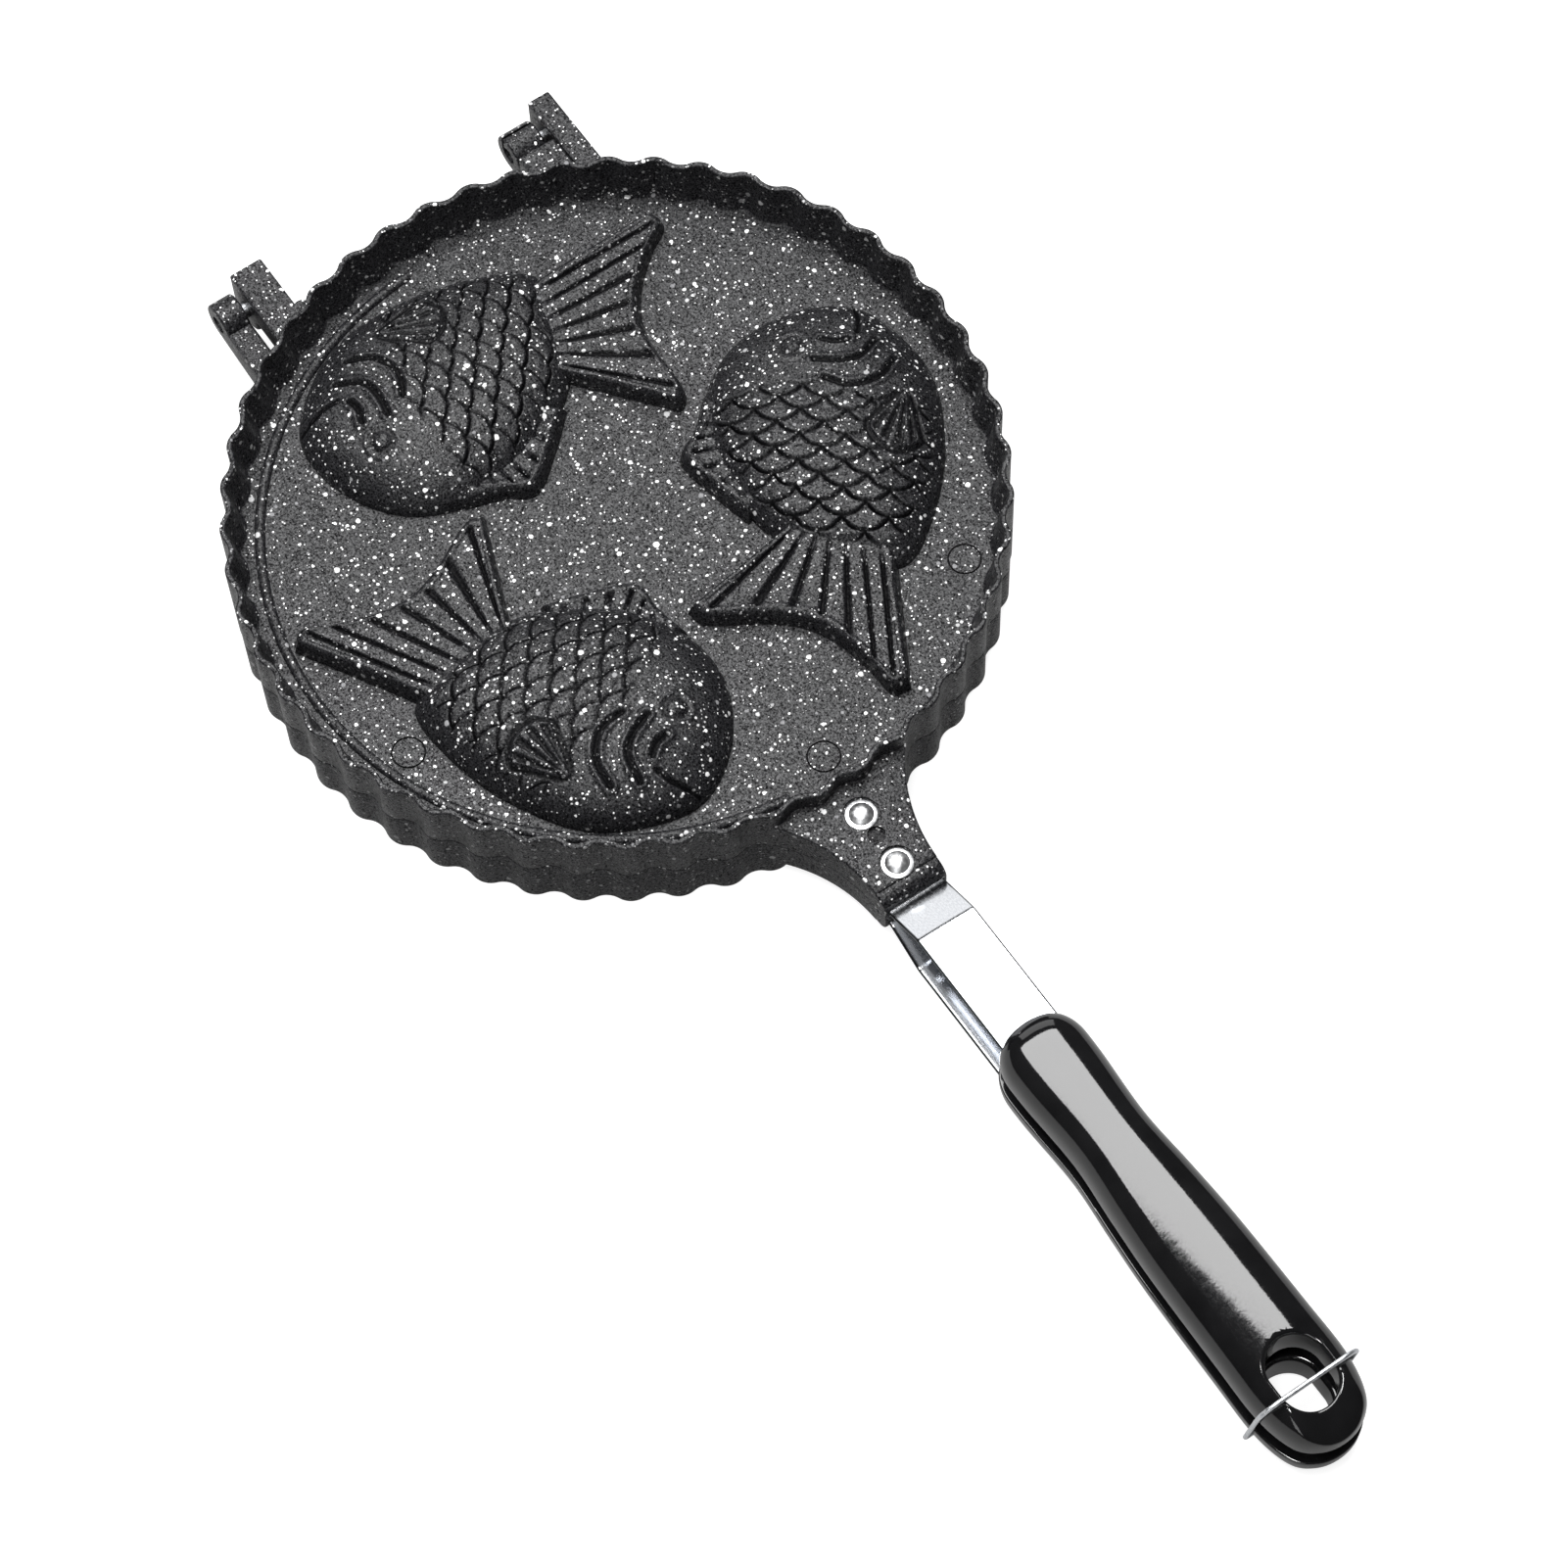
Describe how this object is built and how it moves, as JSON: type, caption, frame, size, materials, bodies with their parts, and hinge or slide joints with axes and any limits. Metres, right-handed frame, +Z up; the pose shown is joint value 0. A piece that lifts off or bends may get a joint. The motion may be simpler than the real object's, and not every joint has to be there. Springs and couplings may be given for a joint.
{
  "type": "taiyaki maker",
  "caption": "Round hinged stove-top pan with a fluted rim and fish-shaped cake moulds in both halves, long black grips and a wire bail that locks them.",
  "frame": {"origin": "centre of the closed pan's bounding box, on the table plane under the lower rim", "axes": "+X along the handles towards the hanging hole, +Z up, +Y completes a right-handed frame"},
  "size_m": [0.4468, 0.215, 0.0329],
  "materials": {
    "coated_casting": "die-cast aluminium with a charcoal stone-effect non-stick coat, speckled white",
    "polished_steel": "polished stainless steel",
    "black_bakelite": "moulded black bakelite, glossy",
    "steel_wire": "bright spring steel wire"
  },
  "bodies": {
    "base": {"lower_pan": "coated_casting", "lower_strap": "polished_steel", "lower_grip": "black_bakelite", "lower_inner_rivet": "polished_steel", "lower_outer_rivet": "polished_steel", "lower_grip_screw": "polished_steel"},
    "lid": {"upper_pan": "coated_casting", "upper_strap": "polished_steel", "upper_grip": "black_bakelite", "upper_inner_rivet": "polished_steel", "upper_outer_rivet": "polished_steel", "upper_grip_screw": "polished_steel", "left_hinge_pin": "polished_steel", "right_hinge_pin": "polished_steel"},
    "wire": {"locking_wire": "steel_wire"}
  },
  "joints": [
    {"name": "lid_hinge", "type": "hinge", "parent": "base", "child": "lid", "pos_m": [-0.2165, 0, 0.0164], "axis": [0, -1, 0], "range_deg": [0, 180]},
    {"name": "wire_pivot", "type": "hinge", "parent": "base", "child": "wire", "pos_m": [0.2043, 0, 0.0044], "axis": [0, 1, 0], "range_deg": [0, 89]}
  ]
}
